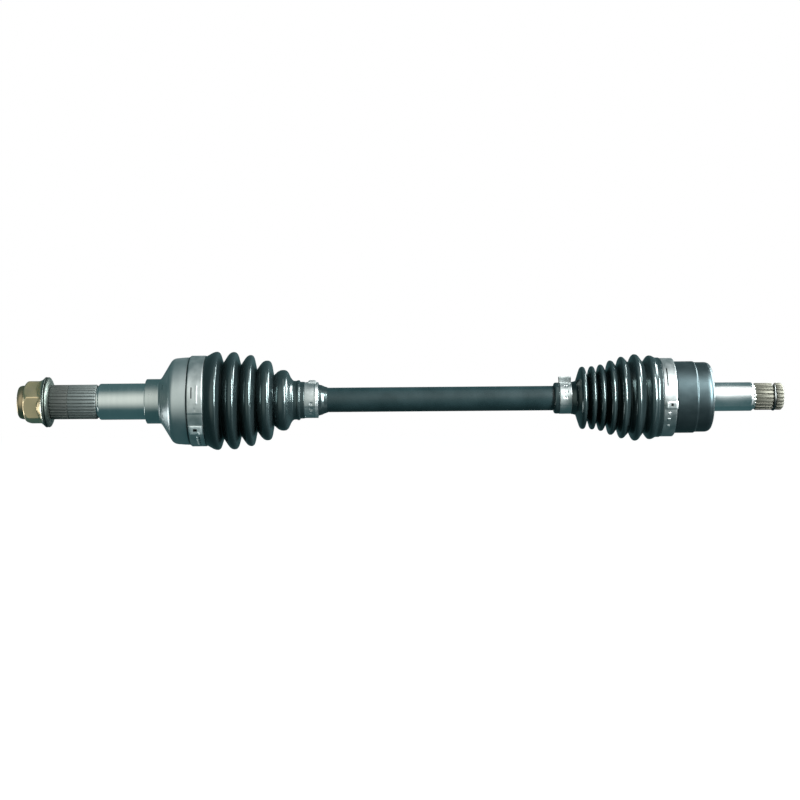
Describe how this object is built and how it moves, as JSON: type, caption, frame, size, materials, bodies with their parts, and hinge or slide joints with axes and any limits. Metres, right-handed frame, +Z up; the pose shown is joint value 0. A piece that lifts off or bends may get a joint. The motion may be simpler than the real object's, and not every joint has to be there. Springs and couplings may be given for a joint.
{
  "type": "cv axle",
  "caption": "Constant-velocity half shaft with splined, threaded wheel stub, fixed and plunging ball joints, ribbed rubber boots, band clamps and splined differential stub.",
  "frame": {"origin": "on the shaft's axis, in the plane where the wheel bearing journal meets its shoulder", "axes": "+X along the shaft from the wheel end towards the differential end, +Z up, +Y away from the side seen in the usual side view"},
  "size_m": [0.6324, 0.0816, 0.0816],
  "materials": {
    "zinc_yellow": "yellow zinc plate, satin",
    "machined_steel": "turned and ground steel",
    "hardened_steel": "ground, dark heat tint",
    "ball_steel": "polished",
    "spring_steel": "dark spring steel",
    "boot_rubber": "glossy moulded rubber",
    "stainless_band": "satin strip",
    "black_paint": "satin black paint",
    "cup_paint": "satin black paint, bare ground stub"
  },
  "bodies": {
    "shaft": {"shaft_bar": "black_paint", "outer_joint_race": "hardened_steel", "outer_race_clip": "spring_steel", "inner_joint_race": "hardened_steel", "inner_race_clip": "spring_steel", "outer_boot": "boot_rubber", "inner_boot": "boot_rubber", "outer_boot_clamp_small": "stainless_band", "inner_boot_clamp_small": "stainless_band"},
    "outer_lower_ball": {"outer_ball_4": "ball_steel"},
    "outer_cage": {"outer_joint_cage": "hardened_steel", "outer_ball_2": "ball_steel", "outer_ball_3": "ball_steel", "outer_ball_5": "ball_steel", "outer_ball_6": "ball_steel"},
    "outer_upper_ball": {"outer_ball_1": "ball_steel"},
    "wheel_end": {"outer_joint_housing": "machined_steel", "outer_boot_clamp_large": "stainless_band"},
    "nut_washer": {"nut_washer": "zinc_yellow"},
    "wheel_nut": {"wheel_nut": "zinc_yellow"},
    "inner_upper_ball": {"inner_ball_1": "ball_steel"},
    "inner_cage": {"inner_joint_cage": "hardened_steel", "inner_ball_2": "ball_steel", "inner_ball_3": "ball_steel", "inner_ball_4": "ball_steel", "inner_ball_5": "ball_steel", "inner_ball_6": "ball_steel"},
    "differential_end": {"inner_joint_cup": "cup_paint", "inner_boot_clamp_large": "stainless_band", "cup_stopper_ring": "spring_steel", "stub_circlip": "spring_steel"}
  },
  "joints": [
    {"name": "outer_pitch", "type": "hinge", "parent": "shaft", "child": "outer_lower_ball", "pos_m": [0.0364, 0, 0], "axis": [0, 1, 0], "range_deg": [-11, 11], "deforming": ["outer_boot"]},
    {"name": "outer_yaw", "type": "hinge", "parent": "outer_lower_ball", "child": "outer_cage", "pos_m": [0.0364, 0, 0], "axis": [0, 0, 1], "range_deg": [-18, 18], "deforming": ["outer_boot"]},
    {"name": "outer_yaw_housing", "type": "hinge", "parent": "outer_cage", "child": "outer_upper_ball", "pos_m": [0.0364, 0, 0], "axis": [0, 0, 1], "range_deg": [-18, 18], "deforming": ["outer_boot"]},
    {"name": "outer_pitch_housing", "type": "hinge", "parent": "outer_upper_ball", "child": "wheel_end", "pos_m": [0.0364, 0, 0], "axis": [0, 1, 0], "range_deg": [-11, 11], "deforming": ["outer_boot"]},
    {"name": "nut_travel", "type": "slide", "parent": "wheel_end", "child": "nut_washer", "axis": [-1, 0, 0], "range_m": [0, 0.0195]},
    {"name": "nut_turn", "type": "hinge", "parent": "nut_washer", "child": "wheel_nut", "pos_m": [-0.09, 0, 0], "axis": [1, 0, 0], "range_deg": [0, 4680]},
    {"name": "inner_pitch", "type": "hinge", "parent": "shaft", "child": "inner_upper_ball", "pos_m": [0.4387, 0, 0], "axis": [0, 1, 0], "range_deg": [-20, 20], "deforming": ["inner_boot"]},
    {"name": "inner_yaw", "type": "hinge", "parent": "inner_upper_ball", "child": "inner_cage", "pos_m": [0.4387, 0, 0], "axis": [0, 0, 1], "range_deg": [-10, 10], "deforming": ["inner_boot"]},
    {"name": "inner_plunge", "type": "slide", "parent": "inner_cage", "child": "differential_end", "axis": [1, 0, 0], "range_m": [-0.0075, 0.007], "deforming": ["inner_boot"]}
  ],
  "couplings": [
    {"joint": "outer_pitch_housing", "follows": "outer_pitch", "ratio": 1},
    {"joint": "outer_yaw_housing", "follows": "outer_yaw", "ratio": 1},
    {"joint": "nut_travel", "follows": "nut_turn", "m_per_rad": 0.00023873}
  ]
}
